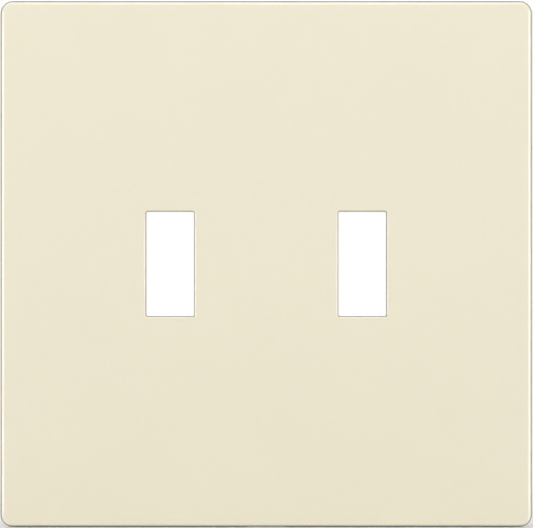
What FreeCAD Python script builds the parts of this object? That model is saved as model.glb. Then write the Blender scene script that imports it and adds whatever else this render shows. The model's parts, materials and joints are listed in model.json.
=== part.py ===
import FreeCAD, Part
import math
import os
import Sketcher
from FreeCAD import Placement, Rotation, Vector
from types import SimpleNamespace

# Two-gang toggle wall plate of the screwless kind, in millimetres.
# A cover with two lever openings snaps over a mounting plate, which four #6-32 screws hold to the
# straps of the two switches in the wall box. No switch is part of it.
#
# Frame: X to the right, Z up, -Y into the room. The origin is on the wall, at the centre of the four
# screws. Heights are measured off the wall, so a height of 5 lies at Y = -5.

DOCUMENT = "ToggleWallPlate"
OUTPUT_FOLDER = "parts"

# The driving dimensions: alias, value, meaning.
SIZES = [
    ("gang_pitch", 46.04, "centre to centre of the two switches, 1 13/16 in"),
    ("screw_rows", 60.33, "centre to centre of a switch's two plate screws, 2 3/8 in"),
    # the cover
    ("plate_wide", 127.6, "cover's outline at the wall"),
    ("plate_tall", 126.2, "cover's outline at the wall"),
    ("corner_round", 3.0, "cover's outline corner radius"),
    ("side_draft", 3.3, "degrees, moulding draft of the cover's side walls"),
    ("edge_round", 0.8, "rounding between the front face and the side walls"),
    ("face_thick", 2.2, "cover's front wall"),
    ("wall_thick", 1.7, "cover's side walls"),
    ("opening_wide", 11.9, "lever opening at the front face"),
    ("opening_tall", 25.5, "lever opening at the front face"),
    ("opening_corner", 0.6, "lever opening's corner radius"),
    ("opening_draft", 3.0, "degrees, the opening narrows towards the wall"),
    ("opening_lip", 0.35, "rounding of the opening's front edge"),
    ("collar_thick", 1.2, "skirt around the opening, behind the face"),
    ("collar_deep", 2.4, "how far the skirt reaches behind the face"),
    ("collar_room", 1.75, "gap between the skirt and the mounting plate's window"),
    ("rib_thick", 1.0, "stiffening ribs behind the face"),
    ("rib_deep", 0.8, "stiffening ribs behind the face"),
    ("rib_room", 0.3, "gap between the ribs and the mounting plate's bosses"),
    ("pry_wide", 9.0, "screwdriver notch in the cover's lower rim"),
    ("pry_tall", 1.3, "screwdriver notch, height off the wall"),
    ("pin_mark", 5.0, "diameter of the ejector pin marks"),
    ("mark_deep", 0.15, "depth of the ejector pin marks"),
    ("lug_reach", 1.3, "how far a lug stands out of the cover's side wall"),
    ("lug_over", 1.5, "how far a lug is longer than its catch, at each end"),
    ("lug_low", 0.3, "height at which a lug leaves the side wall"),
    ("lug_bite", 0.4, "how far a lug's profile runs into the side wall"),
    # the mounting plate
    ("sub_room", 1.9, "gap between the cover's side walls and the mounting plate"),
    ("yoke_room", 1.5, "space behind the mounting plate for the switch straps"),
    ("sub_thick", 2.0, "mounting plate"),
    ("sub_corner", 2.4, "mounting plate's corner radius"),
    ("rim_thick", 1.6, "rim that stands the mounting plate off the wall"),
    ("bead_wide", 1.2, "raised beads on the mounting plate's front"),
    ("bead_high", 0.8, "raised beads and screw bosses"),
    ("window_corner", 2.0, "radius of the windows behind the lever openings"),
    ("slot_wide", 7.0, "material-saving slots"),
    ("slot_tall", 52.0, "material-saving slots"),
    ("slot_corner", 2.5, "material-saving slots' corner radius"),
    ("boss_wall", 1.0, "screw boss outside its countersink"),
    ("screw_room", 0.5, "how much wider the clearance hole is than the thread"),
    ("sink_angle", 82.0, "degrees, included angle of the countersink and the screw head"),
    ("sink_room", 0.1, "gap around the screw head, and how far it lies below the boss"),
    ("arrow_tall", 9.0, "raised arrow that points up"),
    ("arrow_wide", 6.0, "raised arrow's head"),
    ("arrow_shaft", 2.0, "raised arrow's shaft"),
    ("arrow_room", 3.5, "from the arrow's point to the bead above it"),
    ("arrow_high", 0.4, "raised arrow"),
    # the catches on the mounting plate's edge
    ("catch_across", 30.0, "catches on the upper and lower edges, from the middle"),
    ("catch_up", 30.0, "catches on the side edges, from the middle"),
    ("strip_long", 30.0, "springy strip that carries a catch"),
    ("strip_thick", 1.3, "springy strip that carries a catch"),
    ("strip_slot", 1.8, "free space behind the strip, for it to bend into"),
    ("catch_wide", 10.0, "catch nose along the edge"),
    ("catch_reach", 1.1, "how far the nose stands out of the strip"),
    ("catch_low", 0.5, "from the strip's back to where the nose leaves it"),
    ("catch_land", 0.3, "flat on the nose's tip"),
    ("catch_lead", 1.2, "slope that lets the cover push on"),
    ("catch_room", 0.1, "gap between the nose and the cover's lug, along the pull"),
    # the screws
    ("thread_across", 3.505, "#6 thread, over the crests"),
    ("screw_long", 12.7, "screw, over all, 1/2 in"),
    ("head_across", 6.9, "flat head"),
    ("head_land", 0.2, "straight edge of the flat head"),
    ("neck_across", 2.95, "plain neck between head and thread, as thick as a rolled thread's blank"),
    ("neck_long", 0.3, "plain neck, from the head's cone to the thread"),
    ("drive_wide", 1.15, "driver slot"),
    ("drive_deep", 0.9, "driver slot"),
    ("tip_chamfer", 0.5, "chamfer at the screw's tip"),
]

# Each screw: name, side (+1 right), row (+1 upper), where its driver slot stands in degrees.
SCREWS = [
    ("mounting_screw_upper_left", -1, 1, 8),
    ("mounting_screw_upper_right", 1, 1, -16),
    ("mounting_screw_lower_left", -1, -1, 24),
    ("mounting_screw_lower_right", 1, -1, -4),
]

NEAR = 1e-3  # mm, for telling edges apart
LEAST_CHANGE = 1e-3  # mm3, less than any feature adds or removes


# ---------------------------------------------------------------- the sheet, and lengths made of it


class Length:
    """A number with the expression that makes it from the sheet's cells."""

    def __init__(self, text, value):
        self.text = text
        self.value = value

    def __add__(self, other):
        other = as_length(other)
        return Length(f"({self.text} + {other.text})", self.value + other.value)

    def __sub__(self, other):
        other = as_length(other)
        return Length(f"({self.text} - {other.text})", self.value - other.value)

    def __mul__(self, other):
        other = as_length(other)
        return Length(f"({self.text} * {other.text})", self.value * other.value)

    def __truediv__(self, other):
        other = as_length(other)
        return Length(f"({self.text} / {other.text})", self.value / other.value)

    def __neg__(self):
        return Length(f"(0 - {self.text})", -self.value)

    __radd__ = __add__
    __rmul__ = __mul__


def as_length(item):
    """A plain number as a Length. A Length stays as it is."""
    return item if isinstance(item, Length) else Length(str(item), item)


def tangent(angle):
    """The tangent of an angle that is a Length in degrees."""
    return Length(f"tan({angle.text} * 1 deg)", math.tan(math.radians(angle.value)))


def make_sheet():
    """Fills the spreadsheet, and gives each of its cells as a named Length."""
    sheet = doc.addObject("Spreadsheet::Sheet", "Sizes")
    cells = SimpleNamespace()
    for row, (alias, value, meaning) in enumerate(SIZES, start=1):
        sheet.set(f"A{row}", alias)
        sheet.set(f"B{row}", str(value))
        sheet.setAlias(f"B{row}", alias)
        sheet.set(f"C{row}", meaning)
        setattr(cells, alias, Length(f"Sizes.{alias}", value))
    doc.recompute()
    return cells


doc = FreeCAD.newDocument(DOCUMENT)
size = make_sheet()

# Places and lengths that several pieces share.
GANG = size.gang_pitch / 2
SCREW_UP = size.screw_rows / 2
INNER_HALF_WIDE = size.plate_wide / 2 - size.wall_thick
INNER_HALF_TALL = size.plate_tall / 2 - size.wall_thick
SUB_HALF_WIDE = INNER_HALF_WIDE - size.sub_room
SUB_HALF_TALL = INNER_HALF_TALL - size.sub_room
SUB_FRONT = size.yoke_room + size.sub_thick
BOSS_FRONT = SUB_FRONT + size.bead_high
INNER_FACE = BOSS_FRONT + size.rib_room + size.rib_deep
PLATE_DEEP = INNER_FACE + size.face_thick
COLLAR_WIDE = size.opening_wide + size.collar_thick * 2
COLLAR_TALL = size.opening_tall + size.collar_thick * 2
WINDOW_WIDE = COLLAR_WIDE + size.collar_room * 2
WINDOW_TALL = COLLAR_TALL + size.collar_room * 2
NOTCH_DEEP = size.strip_thick + size.strip_slot
BEAD_INSET = NOTCH_DEEP + size.rim_thick
FIELD_HALF_WIDE = SUB_HALF_WIDE - BEAD_INSET - size.bead_wide
FIELD_HALF_TALL = SUB_HALF_TALL - BEAD_INSET - size.bead_wide
SLOT_ACROSS = (GANG + WINDOW_WIDE / 2 + size.bead_wide + FIELD_HALF_WIDE) / 2
NOSE_LOW = size.yoke_room + size.catch_low
NOSE_TIP_LOW = NOSE_LOW + size.catch_reach
NOSE_TIP_HIGH = NOSE_TIP_LOW + size.catch_land
NOSE_TOP = NOSE_TIP_HIGH + size.catch_lead
SINK_EXTRA = size.sink_room + (size.sink_room + size.head_land) * tangent(size.sink_angle / 2)
SINK_ACROSS = size.head_across + SINK_EXTRA * 2
BOTH = (-1, 1)


# ---------------------------------------------------------------- bodies, sketches and features


def new_body(label, several=False):
    body = doc.addObject("PartDesign::Body", label)
    body.Label = label
    body.AllowCompound = several
    return body


def origin_plane(body, role):
    return next(item for item in body.Origin.OriginFeatures if item.Role == role)


def new_sketch(body, name, plane="XZ_Plane", offset=0):
    """A sketch on an origin plane, moved along the plane's normal, which on XZ_Plane is off the wall."""
    sketch = body.newObject("Sketcher::SketchObject", name)
    sketch.AttachmentSupport = [(origin_plane(body, plane), "")]
    sketch.MapMode = "FlatFace"
    sketch.setExpression("AttachmentOffset.Base.z", as_length(offset).text)
    return sketch


def dimension(sketch, kind, references, length):
    """A driving constraint bound to the sheet. A negative distance is measured the other way round."""
    length = as_length(length)
    if length.value < 0:
        references = references[2:] + references[:2]
        length = -length
    index = sketch.addConstraint(Sketcher.Constraint(kind, *references, length.value))
    sketch.setExpression(f"Constraints[{index}]", length.text)


def fix_point(sketch, geometry, position, across, up):
    """Holds a point at its distances from the sketch's origin. At no distance, it lies on the axis."""
    for kind, axis, length in (("DistanceX", -2, across), ("DistanceY", -1, up)):
        if as_length(length).value == 0:
            sketch.addConstraint(Sketcher.Constraint("PointOnObject", geometry, position, axis))
        else:
            dimension(sketch, kind, (-1, 1, geometry, position), length)


def rounded_rectangle(sketch, wide, tall, corner, across=0, up=0):
    """A rectangle with equal rounded corners, centred at (across, up)."""
    middle = Vector(as_length(across).value, as_length(up).value, 0)
    radius = corner.value
    reach = Vector(wide.value / 2 - radius, tall.value / 2 - radius, 0)
    arcs, lines = [], []
    for quarter, (side, row) in enumerate(((1, 1), (-1, 1), (-1, -1), (1, -1))):
        centre = middle + Vector(side * reach.x, row * reach.y, 0)
        start = quarter * math.pi / 2
        whole = Part.Circle(centre, Vector(0, 0, 1), radius)
        arcs.append(sketch.addGeometry(Part.ArcOfCircle(whole, start, start + math.pi / 2)))
    for quarter in range(4):
        first = sketch.getPoint(arcs[quarter], 2)
        last = sketch.getPoint(arcs[(quarter + 1) % 4], 1)
        lines.append(sketch.addGeometry(Part.LineSegment(first, last)))
    for quarter in range(4):
        following = arcs[(quarter + 1) % 4]
        sketch.addConstraint(Sketcher.Constraint("Tangent", arcs[quarter], 2, lines[quarter], 1))
        sketch.addConstraint(Sketcher.Constraint("Tangent", lines[quarter], 2, following, 1))
        level = "Horizontal" if quarter % 2 == 0 else "Vertical"
        sketch.addConstraint(Sketcher.Constraint(level, lines[quarter]))
    for other in arcs[1:]:
        sketch.addConstraint(Sketcher.Constraint("Equal", arcs[0], other))
    top, left, bottom, right = lines
    dimension(sketch, "Radius", (arcs[0],), corner)
    dimension(sketch, "DistanceX", (left, 1, right, 1), wide)
    dimension(sketch, "DistanceY", (bottom, 1, top, 1), tall)
    centre_point = sketch.addGeometry(Part.Point(middle), True)
    fix_point(sketch, centre_point, 1, across, up)
    sketch.addConstraint(Sketcher.Constraint("Symmetric", arcs[0], 3, arcs[2], 3, centre_point, 1))


def polygon(sketch, corners):
    """A closed outline of straight lines through corners given as (across, up)."""
    points = [Vector(as_length(across).value, as_length(up).value, 0) for across, up in corners]
    following = points[1:] + points[:1]
    lines = [sketch.addGeometry(Part.LineSegment(*ends)) for ends in zip(points, following)]
    for line, after in zip(lines, lines[1:] + lines[:1]):
        sketch.addConstraint(Sketcher.Constraint("Coincident", line, 2, after, 1))
    for line, (across, up) in zip(lines, corners):
        fix_point(sketch, line, 1, across, up)


def rectangle(sketch, wide, tall, across=0, up=0):
    """A plain rectangle centred at (across, up)."""
    right, left = wide / 2 + across, wide / -2 + across
    top, bottom = tall / 2 + up, tall / -2 + up
    polygon(sketch, [(right, top), (left, top), (left, bottom), (right, bottom)])


def circle(sketch, diameter, across, up):
    centre = Vector(across.value, up.value, 0)
    made = sketch.addGeometry(Part.Circle(centre, Vector(0, 0, 1), diameter.value / 2))
    dimension(sketch, "Diameter", (made,), diameter)
    fix_point(sketch, made, 3, across, up)


def four_circles(sketch, diameter, across, up):
    """Equal circles, one in each quarter of the plate."""
    for side in BOTH:
        for row in BOTH:
            circle(sketch, diameter, across * side, up * row)


def settle(body, feature, before=0.0):
    """Recomputes, makes the feature the body's tip, and stops if it left the volume as it was."""
    body.Tip = feature
    doc.recompute()
    if abs(feature.Shape.Volume - before) < LEAST_CHANGE:
        raise RuntimeError(f"{body.Label}: {feature.Name} changed nothing")
    return feature


def pad(body, name, sketch, length, to_wall=False, taper=None):
    """Adds material along the sketch's normal, or against it. On XZ_Plane the normal is off the wall."""
    before = body.Shape.Volume if body.Tip else 0.0
    made = body.newObject("PartDesign::Pad", name)
    made.Profile = sketch
    made.setExpression("Length", length.text)
    made.Reversed = to_wall
    if taper:
        made.setExpression("TaperAngle", taper.text)
    return settle(body, made, before)


def pocket(body, name, sketch, length, to_wall=True, taper=None):
    """Removes material against the sketch's normal, or along it."""
    before = body.Shape.Volume
    made = body.newObject("PartDesign::Pocket", name)
    made.Profile = sketch
    made.setExpression("Length", length.text)
    made.Reversed = not to_wall
    if taper:
        made.setExpression("TaperAngle", taper.text)
    return settle(body, made, before)


def mirror(body, feature, plane):
    """Copies one feature to the other side of an origin plane."""
    before = body.Shape.Volume
    made = body.newObject("PartDesign::Mirrored", f"{feature.Name}_mirrored")
    made.Originals = [feature]
    made.MirrorPlane = (origin_plane(body, plane), [""])
    return settle(body, made, before)


def fillet(body, name, feature, radius, wanted):
    """Rounds the feature's edges whose bounding box passes a test."""
    before = body.Shape.Volume
    numbered = enumerate(feature.Shape.Edges, start=1)
    made = body.newObject("PartDesign::Fillet", name)
    made.Base = (feature, [f"Edge{number}" for number, edge in numbered if wanted(edge.BoundBox)])
    made.setExpression("Radius", radius.text)
    return settle(body, made, before)


def at_height(box, height):
    """Whether a bounding box lies wholly at a height off the wall."""
    return abs(box.YMin + height.value) < NEAR and abs(box.YMax + height.value) < NEAR


def edge_pieces(body, name, outline, half_wide, half_tall, length):
    """Eight equal bars along the plate's edges, two to a side, from one profile."""
    start = size.catch_across - length / 2
    sketch = new_sketch(body, f"{name}_upper_lower_outline", "YZ_Plane", start)
    for outward in BOTH:
        polygon(sketch, [(-height, place) for height, place in outline(half_tall, outward)])
    made = pad(body, f"{name}_upper_lower", sketch, length)
    mirror(body, made, "YZ_Plane")
    start = size.catch_up - length / 2
    sketch = new_sketch(body, f"{name}_left_right_outline", "XY_Plane", start)
    for outward in BOTH:
        polygon(sketch, [(place, -height) for height, place in outline(half_wide, outward)])
    made = pad(body, f"{name}_left_right", sketch, length)
    mirror(body, made, "XY_Plane")


# ---------------------------------------------------------------- the cover


def cover_plate():
    body = new_body("cover_plate")
    shell_and_cavity(body)
    lever_openings(body)
    cover_ribs(body)
    lug_long = size.catch_wide + size.lug_over * 2
    edge_pieces(body, "lugs", lug_outline, INNER_HALF_WIDE, INNER_HALF_TALL, lug_long)
    pry_notch(body)
    return body


def shell_and_cavity(body):
    """A shallow tray with drafted side walls, open to the wall."""
    sketch = new_sketch(body, "cover_outline")
    rounded_rectangle(sketch, size.plate_wide, size.plate_tall, size.corner_round)
    shell = pad(body, "cover_shell", sketch, PLATE_DEEP, taper=-size.side_draft)
    fillet(body, "front_edge", shell, size.edge_round, lambda box: at_height(box, PLATE_DEEP))
    sketch = new_sketch(body, "cavity_outline")
    corner = size.corner_round - size.wall_thick
    rounded_rectangle(sketch, INNER_HALF_WIDE * 2, INNER_HALF_TALL * 2, corner)
    pocket(body, "cavity", sketch, INNER_FACE, to_wall=False, taper=-size.side_draft)


def lever_openings(body):
    """Two openings, each with a skirt that hides the mounting plate from the front."""
    sketch = new_sketch(body, "collar_outline", offset=INNER_FACE)
    for side in BOTH:
        corner = size.opening_corner + size.collar_thick
        rounded_rectangle(sketch, COLLAR_WIDE, COLLAR_TALL, corner, GANG * side)
    pad(body, "collars", sketch, size.collar_deep, to_wall=True, taper=-size.opening_draft)
    sketch = new_sketch(body, "opening_outline", offset=PLATE_DEEP)
    for side in BOTH:
        wide, tall, corner = size.opening_wide, size.opening_tall, size.opening_corner
        rounded_rectangle(sketch, wide, tall, corner, GANG * side)
    openings = pocket(body, "openings", sketch, PLATE_DEEP, taper=-size.opening_draft)
    reach_across = (GANG + size.opening_wide / 2).value + NEAR
    reach_up = (size.opening_tall / 2).value + NEAR

    def is_lip(box):
        inside = max(-box.XMin, box.XMax) < reach_across and max(-box.ZMin, box.ZMax) < reach_up
        return inside and at_height(box, PLATE_DEEP)

    fillet(body, "opening_lips", openings, size.opening_lip, is_lip)


def cover_ribs(body):
    """Ribs that run from wall to wall behind the face, and the ejector pins' marks between them."""
    rib_across = (GANG + COLLAR_WIDE / 2 + INNER_HALF_WIDE) / 2
    rib_up = (COLLAR_TALL / 2 + INNER_HALF_TALL) / 2
    sketch = new_sketch(body, "upright_ribs_outline", offset=INNER_FACE)
    for column in (-1, 0, 1):
        rectangle(sketch, size.rib_thick, INNER_HALF_TALL * 2, rib_across * column)
    pad(body, "upright_ribs", sketch, size.rib_deep, to_wall=True)
    sketch = new_sketch(body, "level_ribs_outline", offset=INNER_FACE)
    for row in BOTH:
        rectangle(sketch, INNER_HALF_WIDE * 2, size.rib_thick, up=rib_up * row)
    pad(body, "level_ribs", sketch, size.rib_deep, to_wall=True)
    sketch = new_sketch(body, "cover_marks_outline", offset=INNER_FACE)
    across = (rib_across + INNER_HALF_WIDE) / 2
    up = (rib_up + INNER_HALF_TALL) / 2
    four_circles(sketch, size.pin_mark, across, up)
    pocket(body, "cover_pin_marks", sketch, size.mark_deep, to_wall=False)


def lug_outline(inner_half, outward):
    """Profile of a lug that hooks behind a catch: (height off the wall, distance from the middle)."""
    root = (inner_half + size.lug_bite) * outward
    tip = (inner_half - size.lug_reach) * outward
    tip_high = NOSE_LOW + size.sub_room - size.lug_reach - size.catch_room
    root_high = tip_high + size.lug_reach + size.lug_bite
    tip_low = (tip_high + size.lug_low) / 2
    return [(size.lug_low, root), (tip_low, tip), (tip_high, tip), (root_high, root)]


def pry_notch(body):
    """A notch in the lower rim, for a screwdriver that lifts the cover off."""
    sketch = new_sketch(body, "pry_outline")
    rectangle(sketch, size.pry_wide, size.wall_thick * 4, up=size.plate_tall / -2)
    pocket(body, "pry_notch", sketch, size.pry_tall, to_wall=False)


# ---------------------------------------------------------------- the mounting plate


def mounting_plate():
    body = new_body("mounting_plate")
    plate_and_rim(body)
    beads_and_bosses(body)
    up_arrow(body)
    windows_and_slots(body)
    catch_notches(body)
    screw_holes(body)
    return body


def ring(sketch, inset, thick):
    """A band set in from the mounting plate's outline."""
    for depth in (inset, inset + thick):
        wide, tall = (SUB_HALF_WIDE - depth) * 2, (SUB_HALF_TALL - depth) * 2
        rounded_rectangle(sketch, wide, tall, size.sub_corner)


def plate_and_rim(body):
    sketch = new_sketch(body, "plate_outline", offset=size.yoke_room)
    rounded_rectangle(sketch, SUB_HALF_WIDE * 2, SUB_HALF_TALL * 2, size.sub_corner)
    pad(body, "plate", sketch, size.sub_thick)
    sketch = new_sketch(body, "rim_outline", offset=size.yoke_room)
    ring(sketch, NOTCH_DEEP, size.rim_thick)
    pad(body, "rim", sketch, size.yoke_room, to_wall=True)


def beads_and_bosses(body):
    """Raised beads around the plate and its windows, and a boss at each screw."""
    sketch = new_sketch(body, "beads_outline", offset=SUB_FRONT)
    ring(sketch, BEAD_INSET, size.bead_wide)
    wide, tall = WINDOW_WIDE + size.bead_wide * 2, WINDOW_TALL + size.bead_wide * 2
    for side in BOTH:
        rounded_rectangle(sketch, wide, tall, size.window_corner + size.bead_wide, GANG * side)
    four_circles(sketch, SINK_ACROSS + size.boss_wall * 2, GANG, SCREW_UP)
    pad(body, "beads_and_bosses", sketch, size.bead_high)


def up_arrow(body):
    sketch = new_sketch(body, "arrow_outline", offset=SUB_FRONT)
    shaft, head = size.arrow_shaft / 2, size.arrow_wide / 2
    point = FIELD_HALF_TALL - size.arrow_room
    neck, foot = point - size.arrow_tall / 2, point - size.arrow_tall
    right_half = [(shaft, foot), (shaft, neck), (head, neck)]
    left_half = [(-across, up) for across, up in reversed(right_half)]
    polygon(sketch, right_half + [(0, point)] + left_half)
    pad(body, "arrow", sketch, size.arrow_high)


def windows_and_slots(body):
    sketch = new_sketch(body, "windows_outline", offset=BOSS_FRONT)
    for side in BOTH:
        rounded_rectangle(sketch, WINDOW_WIDE, WINDOW_TALL, size.window_corner, GANG * side)
    pocket(body, "windows", sketch, size.sub_thick + size.bead_high)
    sketch = new_sketch(body, "slots_outline", offset=SUB_FRONT)
    for column in (-1, 0, 1):
        across = SLOT_ACROSS * column
        rounded_rectangle(sketch, size.slot_wide, size.slot_tall, size.slot_corner, across)
    pocket(body, "slots", sketch, size.sub_thick)
    sketch = new_sketch(body, "plate_marks_outline", offset=size.yoke_room)
    four_circles(sketch, size.pin_mark, SLOT_ACROSS, (size.slot_tall / 2 + FIELD_HALF_TALL) / 2)
    pocket(body, "plate_pin_marks", sketch, size.mark_deep, to_wall=False)


def strip_outlines(sketch, deep):
    """Eight rectangles along the mounting plate's edge, one to a catch."""
    along = size.strip_long
    for side in BOTH:
        for row in BOTH:
            rectangle(sketch, along, deep, size.catch_across * side, (SUB_HALF_TALL - deep / 2) * row)
            rectangle(sketch, deep, along, (SUB_HALF_WIDE - deep / 2) * side, size.catch_up * row)


def catch_notches(body):
    """The plate's edge is open where a springy strip bridges it."""
    sketch = new_sketch(body, "notches_outline", offset=SUB_FRONT)
    strip_outlines(sketch, NOTCH_DEEP)
    pocket(body, "catch_notches", sketch, size.sub_thick)


def screw_holes(body):
    """Countersunk clearance holes through the four bosses."""
    sketch = new_sketch(body, "hole_centres", offset=BOSS_FRONT)
    hole_across = size.thread_across + size.screw_room
    four_circles(sketch, hole_across, GANG, SCREW_UP)
    doc.recompute()
    before = body.Shape.Volume
    made = body.newObject("PartDesign::Hole", "screw_holes")
    made.Profile = sketch
    made.DepthType = "ThroughAll"
    made.setExpression("Diameter", hole_across.text)
    made.HoleCutType = "Countersink"
    made.HoleCutCustomValues = True
    made.setExpression("HoleCutDiameter", SINK_ACROSS.text)
    made.setExpression("HoleCutCountersinkAngle", size.sink_angle.text)
    settle(body, made, before)


# ---------------------------------------------------------------- the catches


def nose_outline(edge_half, outward):
    """A catch's profile: (height off the wall, distance from the middle)."""
    inner = (edge_half - size.strip_thick) * outward
    face = edge_half * outward
    tip = (edge_half + size.catch_reach) * outward
    back = [(size.yoke_room, inner), (size.yoke_room, face), (NOSE_LOW, face)]
    return back + [(NOSE_TIP_LOW, tip), (NOSE_TIP_HIGH, tip), (NOSE_TOP, face), (NOSE_TOP, inner)]


def snap_catches():
    """Eight springy strips along the mounting plate's edge, each with a nose in its middle."""
    body = new_body("snap_catches", several=True)
    sketch = new_sketch(body, "strips_outline", offset=size.yoke_room)
    strip_outlines(sketch, size.strip_thick)
    pad(body, "strips", sketch, size.sub_thick)
    edge_pieces(body, "noses", nose_outline, SUB_HALF_WIDE, SUB_HALF_TALL, size.catch_wide)
    return body


# ---------------------------------------------------------------- the screws


def mounting_screw(label, side, row, turned):
    """A slotted flat-head screw that points into the wall, its head in a boss's countersink."""
    body = new_body(label)
    sketch = new_sketch(body, f"{label}_profile", "XY_Plane")
    head, neck, thread = size.head_across / 2, size.neck_across / 2, size.thread_across / 2
    cone_end = size.head_land + (head - neck) / tangent(size.sink_angle / 2)
    profile = [
        (0, 0),
        (head, 0),
        (head, size.head_land),
        (neck, cone_end),
        (neck, cone_end + size.neck_long),
        (thread, cone_end + size.neck_long),
        (thread, size.screw_long - size.tip_chamfer),
        (thread - size.tip_chamfer, size.screw_long),
        (0, size.screw_long),
    ]
    polygon(sketch, profile)
    solid = body.newObject("PartDesign::Revolution", f"{label}_solid")
    solid.Profile = sketch
    solid.ReferenceAxis = (sketch, ["V_Axis"])
    solid.Angle = 360
    settle(body, solid)
    sketch = new_sketch(body, f"{label}_slot_outline")
    rectangle(sketch, size.drive_wide, size.head_across + size.drive_wide)
    pocket(body, f"{label}_slot", sketch, size.drive_deep)
    body.Placement = Placement(Vector(0, 0, 0), Rotation(Vector(0, 1, 0), turned))
    body.setExpression("Placement.Base.x", (GANG * side).text)
    body.setExpression("Placement.Base.y", (size.sink_room - BOSS_FRONT).text)
    body.setExpression("Placement.Base.z", (SCREW_UP * row).text)
    return body


# ---------------------------------------------------------------- build, check, write

pieces = [cover_plate(), mounting_plate(), snap_catches()]
pieces += [mounting_screw(*screw) for screw in SCREWS]
doc.recompute()

for item in doc.Objects:
    if "Invalid" in item.State or "Error" in item.State:
        raise RuntimeError(f"{item.Label} failed: {item.State}")
for piece in pieces:
    if piece.Shape.isNull() or not piece.Shape.isValid():
        raise RuntimeError(f"{piece.Label} has no valid shape")

os.makedirs(OUTPUT_FOLDER, exist_ok=True)
for piece in pieces:
    piece.Shape.exportStep(os.path.join(OUTPUT_FOLDER, f"{piece.Label}.step"))
    print(f"{piece.Label}: {len(piece.Shape.Solids)} solid(s), {piece.Shape.Volume:.0f} mm3")
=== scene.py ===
"""The looks of the two-gang screwless wall plate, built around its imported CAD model.

Three kinds of piece replace the CAD nodes: the moulded cover, the mounting plate with its springy
catches in one moulding, and four zinc-plated screws with real threads.
"""

import json
import math

import bmesh
import bpy
from mathutils import Matrix, Vector

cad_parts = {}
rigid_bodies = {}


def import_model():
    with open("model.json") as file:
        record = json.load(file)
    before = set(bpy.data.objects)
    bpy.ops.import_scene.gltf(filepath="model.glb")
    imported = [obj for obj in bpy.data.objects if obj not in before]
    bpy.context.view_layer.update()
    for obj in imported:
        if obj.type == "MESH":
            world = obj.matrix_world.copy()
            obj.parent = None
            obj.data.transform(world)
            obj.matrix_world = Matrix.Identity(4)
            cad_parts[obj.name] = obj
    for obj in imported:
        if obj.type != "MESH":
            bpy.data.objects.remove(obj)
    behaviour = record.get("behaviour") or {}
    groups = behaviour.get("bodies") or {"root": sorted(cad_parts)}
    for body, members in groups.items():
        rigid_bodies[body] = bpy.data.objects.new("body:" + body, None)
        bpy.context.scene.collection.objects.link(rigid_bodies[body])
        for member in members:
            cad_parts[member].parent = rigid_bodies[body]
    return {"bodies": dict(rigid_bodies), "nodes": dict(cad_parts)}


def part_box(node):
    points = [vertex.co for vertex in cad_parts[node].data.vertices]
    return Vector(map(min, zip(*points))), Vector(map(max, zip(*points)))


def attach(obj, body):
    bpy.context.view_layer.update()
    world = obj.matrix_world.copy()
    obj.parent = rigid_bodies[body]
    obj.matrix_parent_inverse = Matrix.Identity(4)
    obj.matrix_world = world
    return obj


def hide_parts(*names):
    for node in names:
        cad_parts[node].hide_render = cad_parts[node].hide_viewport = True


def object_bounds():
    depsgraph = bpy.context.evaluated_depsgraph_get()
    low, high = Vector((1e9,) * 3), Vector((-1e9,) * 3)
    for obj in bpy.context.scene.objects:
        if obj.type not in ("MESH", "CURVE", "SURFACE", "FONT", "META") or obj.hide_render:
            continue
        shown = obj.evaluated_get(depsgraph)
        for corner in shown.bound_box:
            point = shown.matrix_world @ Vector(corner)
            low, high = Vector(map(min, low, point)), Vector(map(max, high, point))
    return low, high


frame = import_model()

MM = 0.001

# The picture: the camera looks along +Y, level with the plate's centre.
PICTURE_WIDE = 127.95 * MM  # what the picture's width spans on the wall plane
AIM = Vector((0.06 * MM, 0, 0))  # the picture's middle, on the wall plane
LENS = 1000.0  # mm, long enough to show the plate almost without perspective
SENSOR = 36.0  # mm
SEES_TO = 20.0  # metres, past everything
FLOOR_ACROSS = 4.0  # metres
FLOOR_FADES = (0.15, 0.6)  # metres from the plate between which the floor fades into the white room

# The softboxes: name, azimuth and elevation in degrees, distance, width and height in metres, radiance.
# Azimuth 0 is in front of the plate and 90 to its right. A pair has one box on each side.
SOFTBOX_PAIRS = [
    ("softbox", 45, 2, 1.4, 0.6, 0.5, 3.1),
    ("softbox_far", 70, 2, 1.4, 0.6, 0.5, 10.6),
]
SINGLE_SOFTBOXES = [
    ("softbox_top", 0, 57, 0.85, 0.5, 0.32, 3.2),
    ("softbox_overhead", 0, 82, 1.4, 1.0, 0.6, 4.2),
    ("softbox_back", 180, 48, 1.6, 1.1, 0.7, 3.5),
]
ROOM_LIGHT = 0.14  # radiance of the room around the plate
FLOOR_LIGHT = 0.8  # radiance that a shiny surface mirrors from steeply below
STEEP = (0.2, 0.4)  # sines of the angles below level between which ROOM_LIGHT turns into FLOOR_LIGHT

# The seams and edges of the mouldings.
SEAM = 1e-7  # metres; points that are no further apart than this become one
SHARP = math.radians(40)  # edges that turn by more are rounded; less is a curve's facets
ACUTE = math.radians(110)  # edges that turn by more than this are too thin to round
FLAT = math.radians(0.5)  # faces that turn by less are one flat region
COVER_EDGE = 0.15 * MM  # the radii to which the edges are rounded
MOUNTING_EDGE = 0.12 * MM
SCREW_EDGE = 0.06 * MM
EDGE_STEPS = 3  # facets across a rounding
MOST_ROUNDED = 0.35  # the largest radius that an edge gets, as a share of the width of the strip beside it

POLYCARBONATE_IOR = 1.585

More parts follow.
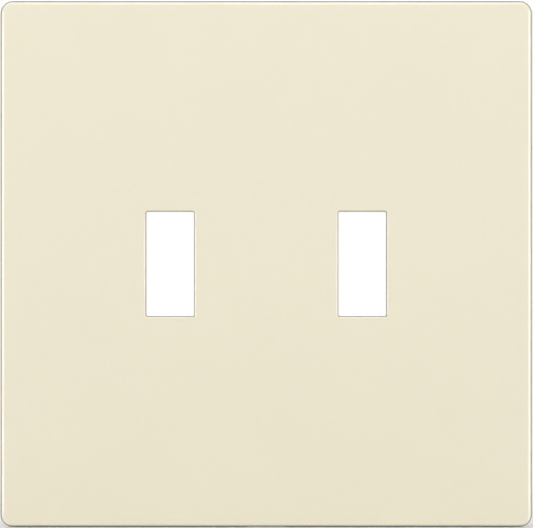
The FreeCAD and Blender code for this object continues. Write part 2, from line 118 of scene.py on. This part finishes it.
# The #6-32 thread.
PITCH = 25.4 / 32 * MM
THREAD_FROM = 2.772 * MM  # from the top of the head to the end of the neck
THREAD_TO = 12.2 * MM  # from the top of the head to the chamfer at the tip
THREAD_ACROSS = 3.505 * MM
THREAD_DEEP = 0.6134 * PITCH  # between the flats of crest and root
CREST_FLAT = PITCH / 8
ROOT_FLAT = PITCH / 4
PAST_CREST = 0.05 * MM  # how far the cutting V reaches out of the shank
THREAD_STARTS = 0.6  # turns between the neck and the middle of the first groove
RUN_OUT = 0.5  # turns over which the groove reaches its depth
TURNS_SPARE = 0.2  # by how many turns the groove is longer than the thread, to leave the tip
TURN_STEPS = 48  # facets round one turn

# The colours: a pair is the two ends of a tint.
COVER_ALMOND = (0.83, 0.78, 0.622)
MOUNTING_ALMOND = (0.81, 0.765, 0.63)
ZINC = [(0.55, 0.56, 0.57), (0.66, 0.62, 0.53)]
# painted shade, which darkens the thread roots of the screws
PAINTED_ROOT_SHADE = (0.2, 0.195, 0.18)
FLOOR_GREYS = [(0.86, 0.86, 0.86), (0.9, 0.9, 0.9)]
WHITE = (1, 1, 1, 1)


# ---------------------------------------------------------------- meshes


def clear_startup_objects():
    kept = set(frame["nodes"].values()) | set(frame["bodies"].values())
    for leftover in set(bpy.data.objects) - kept:
        bpy.data.objects.remove(leftover)


def new_object(name, mesh):
    made = bpy.data.objects.new(name, mesh)
    bpy.context.scene.collection.objects.link(made)
    return made


def copy_of(name, node):
    """A new object with the CAD node's mesh, its seams closed."""
    bm = bmesh.new()
    bm.from_mesh(frame["nodes"][node].data)
    bmesh.ops.remove_doubles(bm, verts=bm.verts, dist=SEAM)
    mesh = bpy.data.meshes.new(name)
    bm.to_mesh(mesh)
    bm.free()
    if "custom_normal" in mesh.attributes:  # the CAD model's normals, which shade_smooth replaces
        mesh.attributes.remove(mesh.attributes["custom_normal"])
    return new_object(name, mesh)


def combine(target, tool, operation):
    """Boolean of two objects into the first one, which uses the second one up."""
    modifier = target.modifiers.new("combine", "BOOLEAN")
    modifier.solver = "MANIFOLD"
    modifier.operation = operation
    modifier.object = tool
    settle(target)
    bpy.data.objects.remove(tool)


def settle(target):
    """Puts what the modifiers make into the object's own mesh."""
    shown = target.evaluated_get(bpy.context.evaluated_depsgraph_get())
    mesh = bpy.data.meshes.new_from_object(shown)
    target.modifiers.clear()
    target.data = mesh


def patches(bm, most):
    """Numbers the patches within which neighbouring faces turn by no more than that angle."""
    patch_of = {}
    for count, start in enumerate(bm.faces):
        if start in patch_of:
            continue
        patch_of[start] = count
        waiting = [start]
        while waiting:
            for edge in waiting.pop().edges:
                if edge.calc_face_angle() <= most:
                    for face in edge.link_faces:
                        if face not in patch_of:
                            patch_of[face] = count
                            waiting.append(face)
    return patch_of


def patch_sums(patch_of, measure):
    """Adds up a measure of the faces, patch by patch."""
    sums = {}
    for face, patch in patch_of.items():
        sums[patch] = sums.get(patch, 0) + measure(face)
    return sums


def round_edges(target, radius):
    """Rounds every sharp edge, by less where a strip of surface beside it is too narrow.

    A long strip is twice its area over its outline wide.
    """
    bm = bmesh.new()
    bm.from_mesh(target.data)
    share = bm.edges.layers.float.new("bevel_weight_edge")
    patch_of = patches(bm, SHARP)
    sharp = {edge for edge in bm.edges if edge.calc_face_angle() > SHARP}
    areas = patch_sums(patch_of, lambda face: face.calc_area())
    outlines = patch_sums(patch_of, lambda face: sum(e.calc_length() for e in face.edges if e in sharp))
    for edge in sharp:
        if edge.calc_face_angle() > ACUTE:
            continue
        width = min(2 * areas[patch_of[face]] / outlines[patch_of[face]] for face in edge.link_faces)
        edge[share] = min(1.0, MOST_ROUNDED * width / radius)
    bm.to_mesh(target.data)
    bm.free()
    bevel = target.modifiers.new("edges", "BEVEL")
    bevel.limit_method = "WEIGHT"
    bevel.width = radius
    bevel.segments = EDGE_STEPS
    bevel.use_clamp_overlap = False
    bevel.loop_slide = False
    settle(target)


def fans(vert):
    """The faces round a vertex, split into groups where sharp edges part them."""
    left = list(vert.link_faces)
    while left:
        fan = []
        waiting = [left.pop()]
        while waiting:
            face = waiting.pop()
            fan.append(face)
            for edge in face.edges:
                if vert in edge.verts and edge.calc_face_angle(0) < SHARP:
                    for other in edge.link_faces:
                        if other in left:
                            left.remove(other)
                            waiting.append(other)
        yield fan


def shade_smooth(target):
    """Smooth shading in which a large flat region stays flat up to the curves that run into it."""
    bm = bmesh.new()
    bm.from_mesh(target.data)
    bmesh.ops.triangulate(bm, faces=[face for face in bm.faces if len(face.verts) > 4])
    for face in bm.faces:
        face.smooth = True
    region_of = patches(bm, FLAT)
    areas = patch_sums(region_of, lambda face: face.calc_area())
    bm.faces.index_update()
    normals = {}
    for vert in bm.verts:
        for fan in fans(vert):
            weighed = {region_of[face]: face.normal * areas[region_of[face]] for face in fan}
            normal = sum(weighed.values(), Vector()).normalized()
            for face in fan:
                normals[face.index, vert.index] = normal
    bm.to_mesh(target.data)
    bm.free()
    target.data.set_sharp_from_angle(angle=SHARP)
    faces = target.data.polygons
    corner_normals = [normals[face.index, vert] for face in faces for vert in face.vertices]
    target.data.normals_split_custom_set(corner_normals)


# ---------------------------------------------------------------- pieces


def make_cover():
    cover = copy_of("cover_moulding", "cover_plate")
    round_edges(cover, COVER_EDGE)
    shade_smooth(cover)
    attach(cover, "cover")
    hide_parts("cover_plate")
    return cover


def make_mounting():
    mounting = copy_of("mounting_moulding", "mounting_plate")
    combine(mounting, copy_of("catches", "snap_catches"), "UNION")
    round_edges(mounting, MOUNTING_EDGE)
    shade_smooth(mounting)
    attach(mounting, "mounting")
    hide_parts("mounting_plate", "snap_catches")
    return mounting


def thread_groove(axis_x, axis_z, start, end):
    """The closed helical V that is cut out of a shank whose thread runs from start to end along Y."""
    crest = THREAD_ACROSS / 2
    slope = (PITCH - CREST_FLAT - ROOT_FLAT) / 2 / THREAD_DEEP
    outer_half = (PITCH - CREST_FLAT) / 2 + PAST_CREST * slope
    steps = math.ceil(((end - start) / PITCH + TURNS_SPARE) * TURN_STEPS)
    bm = bmesh.new()
    rings = []
    for step in range(steps + 1):
        turn = 2 * math.pi * step / TURN_STEPS
        middle = start + PITCH * (THREAD_STARTS + step / TURN_STEPS)
        lift = (THREAD_DEEP + PAST_CREST / 2) * max(0, 1 - step / TURN_STEPS / RUN_OUT)
        section = [
            (crest + PAST_CREST, -outer_half),
            (crest - THREAD_DEEP, -ROOT_FLAT / 2),
            (crest - THREAD_DEEP, ROOT_FLAT / 2),
            (crest + PAST_CREST, outer_half),
        ]
        ring = []
        for radius, along in section:
            x = axis_x + (radius + lift) * math.cos(turn)
            z = axis_z - (radius + lift) * math.sin(turn)
            ring.append(bm.verts.new((x, middle + along, z)))
        rings.append(ring)
    for near, far in zip(rings, rings[1:]):
        for i in range(len(near)):
            j = (i + 1) % len(near)
            bm.faces.new((near[i], near[j], far[j], far[i]))
    bm.faces.new(reversed(rings[0]))
    bm.faces.new(rings[-1])
    bmesh.ops.recalc_face_normals(bm, faces=bm.faces)
    mesh = bpy.data.meshes.new("groove")
    bm.to_mesh(mesh)
    bm.free()
    return new_object("groove", mesh)


def make_screw(side, row):
    """One mounting screw: the CAD node's head, neck and shank, with the thread cut into the shank."""
    node = f"mounting_screw_{row}_{side}"
    low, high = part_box(node)
    centre = (low + high) / 2
    screw = copy_of(f"screw_{row}_{side}", node)
    round_edges(screw, SCREW_EDGE)
    groove = thread_groove(centre.x, centre.z, low.y + THREAD_FROM, high.y)
    combine(screw, groove, "DIFFERENCE")
    shade_smooth(screw)
    head = Vector((centre.x, low.y, centre.z))  # zinc_plate measures from here
    screw.data.transform(Matrix.Translation(-head))
    screw.location = head
    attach(screw, f"screw_{row}_{side}")
    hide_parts(node)
    return screw


# ---------------------------------------------------------------- materials


COLOUR_SOCKETS = (6, 7)  # of a Mix node, whose other sockets are for numbers and vectors
COLOUR_RESULT = 2


class Nodes:
    """A material's node tree, with one call for each kind of node that the materials need."""

    def __init__(self, name):
        self.material = bpy.data.materials.new(name)
        self.material.use_nodes = True
        self.tree = self.material.node_tree
        self.shader = self.tree.nodes["Principled BSDF"]
        self.place = self.tree.nodes.new("ShaderNodeTexCoord").outputs["Object"]  # in metres

    def add(self, kind, **inputs):
        """A new node with those inputs, each of them a number, a colour or another node's output."""
        node = self.tree.nodes.new(kind)
        for name, value in inputs.items():
            self.feed(value, node.inputs[name])
        return node

    def feed(self, value, socket):
        """Links an output to a socket, or sets the socket to a number or colour."""
        if isinstance(value, bpy.types.NodeSocket):
            self.tree.links.new(value, socket)
        else:
            socket.default_value = value

    def noise(self, size, detail=2.0, place=None):
        """A pattern whose features are about size across, from 0 to 1."""
        made = self.add("ShaderNodeTexNoise", Vector=place or self.place, Scale=1 / size, Detail=detail)
        return made.outputs["Fac"]

    def between(self, value, low, high, start=0.3, end=0.7):
        """Maps start to low and end to high, by default the limits within which most of a noise lies."""
        limits = {"From Min": start, "From Max": end, "To Min": low, "To Max": high}
        return self.add("ShaderNodeMapRange", Value=value, **limits).outputs["Result"]

    def length(self, vector, scale=(1, 1, 1)):
        """The length of a vector, once its three parts are scaled."""
        scaled = self.add("ShaderNodeVectorMath", Vector=vector)
        scaled.operation = "MULTIPLY"
        scaled.inputs[1].default_value = scale
        made = self.add("ShaderNodeVectorMath", Vector=scaled.outputs["Vector"])
        made.operation = "LENGTH"
        return made.outputs["Value"]

    def tint(self, pattern, first, second):
        """A colour that goes from the first to the second as the pattern goes from 0 to 1.

        Either colour may be another node's output.
        """
        made = self.add("ShaderNodeMix")
        made.data_type = "RGBA"
        self.feed(pattern, made.inputs["Factor"])
        for colour, socket in zip((first, second), COLOUR_SOCKETS):
            self.feed((*colour, 1) if isinstance(colour, tuple) else colour, made.inputs[socket])
        return made.outputs[COLOUR_RESULT]

    def bump(self, pattern, height, below=None):
        """Relief of that height in metres, over the relief that another bump makes."""
        made = self.add("ShaderNodeBump", Height=pattern, Distance=height, Strength=1.0)
        if below is not None:
            self.feed(below, made.inputs["Normal"])
        return made.outputs["Normal"]

    def finish(self, colour, roughness, normal):
        """The material, once its shader has those three inputs."""
        self.feed(colour, self.shader.inputs["Base Color"])
        self.feed(roughness, self.shader.inputs["Roughness"])
        self.feed(normal, self.shader.inputs["Normal"])
        return self.material


def shades(colour, spread):
    """A colour made a little darker and a little lighter."""
    return [tuple(c * (1 - spread) for c in colour), tuple(c * (1 + spread) for c in colour)]


def glossy_almond():
    """Plastic from a polished mould: faint clouds of colour and gloss, a slight wave, a trace of grain."""
    nodes = Nodes("glossy_almond")
    nodes.shader.inputs["IOR"].default_value = POLYCARBONATE_IOR
    clouds = nodes.noise(size=28 * MM, detail=3)
    colour = nodes.tint(clouds, *shades(COVER_ALMOND, spread=0.012))
    roughness = nodes.between(nodes.noise(size=6 * MM, detail=4), low=0.1, high=0.14)
    wave = nodes.bump(nodes.noise(size=35 * MM, detail=1), height=0.03 * MM)
    grain = nodes.bump(nodes.noise(size=0.25 * MM, detail=2), height=0.0006 * MM, below=wave)
    return nodes.finish(colour, roughness, grain)


def matt_almond():
    """Plastic from a spark-eroded mould: an even fine grain with no gloss."""
    nodes = Nodes("matt_almond")
    nodes.shader.inputs["IOR"].default_value = POLYCARBONATE_IOR
    clouds = nodes.noise(size=20 * MM, detail=4)
    colour = nodes.tint(clouds, *shades(MOUNTING_ALMOND, spread=0.02))
    roughness = nodes.between(nodes.noise(size=2 * MM, detail=3), low=0.52, high=0.66)
    grain = nodes.bump(nodes.noise(size=0.45 * MM, detail=4), height=0.02 * MM)
    return nodes.finish(colour, roughness, grain)


def zinc_plate():
    """Zinc-plated steel: passivation tinged yellow and blue, turning rings, and thread roots darkened with
    painted shade.
    """
    nodes = Nodes("zinc_plate")
    nodes.shader.inputs["Metallic"].default_value = 1.0
    radius = nodes.length(nodes.place, scale=(1, 0, 1))
    along = nodes.length(nodes.place, scale=(0, 1, 0))
    unshaded_zinc = nodes.tint(nodes.noise(size=1.6 * MM, detail=2), *ZINC)
    past_neck = nodes.between(along, low=0, high=1, start=THREAD_FROM, end=THREAD_FROM + PITCH)
    on_thread = nodes.between(along, low=past_neck, high=0, start=THREAD_TO - PITCH / 4, end=THREAD_TO)
    crest = THREAD_ACROSS / 2
    # painted shade: the thread roots darken towards the root radius, standing in for the shade that falls in
    # the grooves
    root = nodes.between(
        radius, low=on_thread, high=0, start=crest - THREAD_DEEP, end=crest - THREAD_DEEP / 4
    )
    colour = nodes.tint(root, unshaded_zinc, PAINTED_ROOT_SHADE)
    roughness = nodes.between(nodes.noise(size=0.7 * MM, detail=3), low=0.24, high=0.38)
    ring = nodes.add("ShaderNodeCombineXYZ", X=radius).outputs["Vector"]
    rings = nodes.bump(nodes.noise(size=0.12 * MM, detail=1, place=ring), height=0.008 * MM)
    return nodes.finish(colour, roughness, rings)


def pale_floor():
    """A matt pale floor that turns into the white of the room some way from the plate."""
    nodes = Nodes("pale_floor")
    colour = nodes.tint(nodes.noise(size=400 * MM), *FLOOR_GREYS)
    grain = nodes.bump(nodes.noise(size=2 * MM), height=0.01 * MM)
    nodes.finish(colour, roughness=0.6, normal=grain)
    faded = nodes.between(nodes.length(nodes.place), 0, 1, *FLOOR_FADES)
    white = nodes.add("ShaderNodeEmission", Color=WHITE, Strength=1.0)
    mixed = nodes.add("ShaderNodeMixShader", Fac=faded)
    nodes.feed(nodes.shader.outputs["BSDF"], mixed.inputs[1])
    nodes.feed(white.outputs["Emission"], mixed.inputs[2])
    nodes.feed(mixed.outputs["Shader"], nodes.tree.nodes["Material Output"].inputs["Surface"])
    return nodes.material


def dress(target, material):
    target.data.materials.clear()
    target.data.materials.append(material)


# ---------------------------------------------------------------- the studio


def make_floor(level):
    """What the plate stands on. It isn't mirrored, so that the side edges keep their highlights low down."""
    half = FLOOR_ACROSS / 2
    bm = bmesh.new()
    corners = [(-half, -half), (half, -half), (half, half), (-half, half)]
    bm.faces.new([bm.verts.new((x, y, level)) for x, y in corners])
    mesh = bpy.data.meshes.new("floor")
    bm.to_mesh(mesh)
    bm.free()
    floor = new_object("floor", mesh)
    dress(floor, pale_floor())
    floor.visible_glossy = False


def light_room():
    """The camera sees a white room, which lights the plate less than it shows, and most from below."""
    world = bpy.data.worlds.new("room")
    bpy.context.scene.world = world
    world.use_nodes = True
    nodes = world.node_tree.nodes
    links = world.node_tree.links
    lighting = nodes["Background"]
    lighting.inputs["Color"].default_value = WHITE
    direction = nodes.new("ShaderNodeSeparateXYZ")
    links.new(nodes.new("ShaderNodeTexCoord").outputs["Generated"], direction.inputs["Vector"])
    radiance = nodes.new("ShaderNodeMapRange")
    limits = {"From Min": -STEEP[1], "From Max": -STEEP[0], "To Min": FLOOR_LIGHT, "To Max": ROOM_LIGHT}
    for socket, number in limits.items():
        radiance.inputs[socket].default_value = number
    links.new(direction.outputs["Z"], radiance.inputs["Value"])
    links.new(radiance.outputs["Result"], lighting.inputs["Strength"])
    shown = nodes.new("ShaderNodeBackground")
    shown.inputs["Color"].default_value = WHITE
    chosen = nodes.new("ShaderNodeMixShader")
    links.new(nodes.new("ShaderNodeLightPath").outputs["Is Camera Ray"], chosen.inputs["Fac"])
    links.new(lighting.outputs["Background"], chosen.inputs[1])
    links.new(shown.outputs["Background"], chosen.inputs[2])
    links.new(chosen.outputs["Shader"], nodes["World Output"].inputs["Surface"])


def hang_softbox(name, azimuth, elevation, distance, wide, tall, radiance):
    """An area light that faces the plate from that direction, and isn't seen itself."""
    turn = math.radians(azimuth)
    rise = math.radians(elevation)
    toward = Vector((math.sin(turn) * math.cos(rise), -math.cos(turn) * math.cos(rise), math.sin(rise)))
    lamp = bpy.data.lights.new(name, "AREA")
    lamp.shape = "RECTANGLE"
    lamp.size = wide
    lamp.size_y = tall
    lamp.energy = radiance * math.pi * wide * tall  # watts
    made = new_object(name, lamp)
    made.location = toward * distance
    made.rotation_euler = (-toward).to_track_quat("-Z", "Y").to_euler()
    made.visible_camera = False


def place_camera():
    lens = bpy.data.cameras.new("camera")
    lens.lens = LENS
    lens.sensor_width = SENSOR
    lens.clip_end = SEES_TO
    camera = new_object("camera", lens)
    camera.location = AIM - Vector((0, PICTURE_WIDE * LENS / SENSOR, 0))
    camera.rotation_euler = (math.pi / 2, 0, 0)
    bpy.context.scene.camera = camera


clear_startup_objects()
cad_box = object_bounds()

dress(make_cover(), glossy_almond())
dress(make_mounting(), matt_almond())
zinc = zinc_plate()
for row in ("upper", "lower"):
    for side in ("left", "right"):
        dress(make_screw(side, row), zinc)

make_floor(level=cad_box[0].z)
light_room()
for name, azimuth, *others in SOFTBOX_PAIRS:
    hang_softbox(f"{name}_left", -azimuth, *others)
    hang_softbox(f"{name}_right", azimuth, *others)
for softbox in SINGLE_SOFTBOXES:
    hang_softbox(*softbox)
place_camera()
bpy.context.scene.view_settings.view_transform = "Standard"
